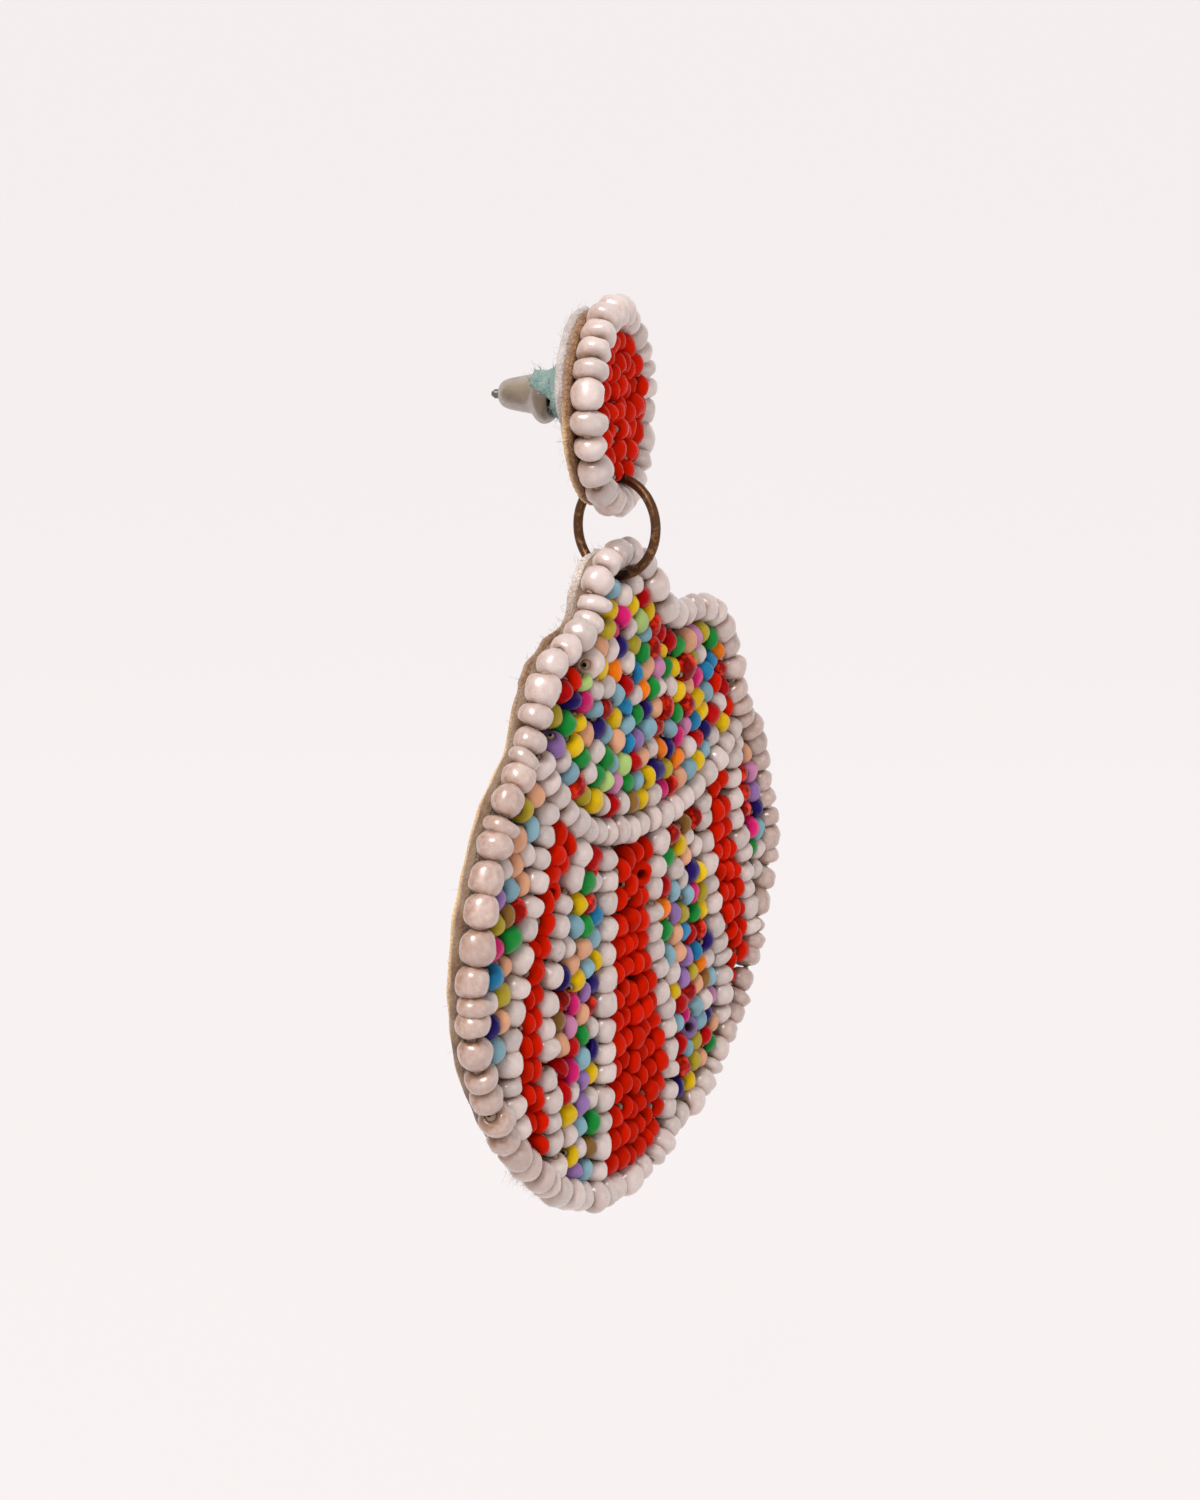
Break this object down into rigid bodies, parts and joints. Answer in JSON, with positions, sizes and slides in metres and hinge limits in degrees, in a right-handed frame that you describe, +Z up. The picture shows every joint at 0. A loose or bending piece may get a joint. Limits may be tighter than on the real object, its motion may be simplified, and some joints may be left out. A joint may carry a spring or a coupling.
{
  "type": "beaded statement earring",
  "caption": "Scallop-shell drop earring of seed-bead embroidery on felt and leather, hanging by a jump ring from a round beaded stud with an ear post and a silicone nut.",
  "frame": {"origin": "on the ear post, where the back of the stud touches the ear lobe", "axes": "+Y along the post, away from the face of the stud; +Z up; +X across the stud. The drop hangs down along -Z, turned 13 degrees about Z"},
  "size_m": [0.0583, 0.0213, 0.0852],
  "materials": {
    "post_steel": "satin",
    "nut_silicone": "translucent satin",
    "ring_metal": "dark bronze",
    "white_felt": "felt",
    "cream_felt": "felt",
    "teal_felt": "felt",
    "tan_leather": "matt",
    "white_beads": "soft sheen",
    "red_beads": "gloss",
    "mixed_beads": "gloss, many colours"
  },
  "bodies": {
    "stud": {"ear_post": "post_steel", "felt_patch": "white_felt", "teal_collar": "teal_felt", "stud_leather": "tan_leather", "stud_rim": "white_beads", "stud_fill": "red_beads"},
    "nut": {"ear_nut": "nut_silicone"},
    "ring": {"jump_ring": "ring_metal"},
    "drop": {"drop_leather": "tan_leather", "drop_felt": "cream_felt", "drop_rim": "white_beads", "panel_arc": "white_beads", "white_line_1": "white_beads", "white_line_2": "white_beads", "white_line_3": "white_beads", "white_line_4": "white_beads", "white_line_5": "white_beads", "white_line_6": "white_beads", "panel_field": "mixed_beads", "stripe_1": "mixed_beads", "stripe_2": "red_beads", "stripe_3": "mixed_beads", "stripe_4": "red_beads", "stripe_5": "mixed_beads", "stripe_6": "red_beads", "stripe_7": "mixed_beads"}
  },
  "joints": [
    {"name": "nut_slide", "type": "slide", "parent": "stud", "child": "nut", "axis": [0, 1, 0], "range_m": [0, 0.009]},
    {"name": "ring_swing", "type": "hinge", "parent": "stud", "child": "ring", "pos_m": [-0.00035, -0.0042, -0.01185], "axis": [0.9336, -0.3584, 0], "range_deg": [-40, 40]},
    {"name": "drop_sway", "type": "hinge", "parent": "ring", "child": "drop", "pos_m": [0.00028, -0.00255, -0.01576], "axis": [0.225, 0.9744, 0], "range_deg": [-20, 20]}
  ]
}
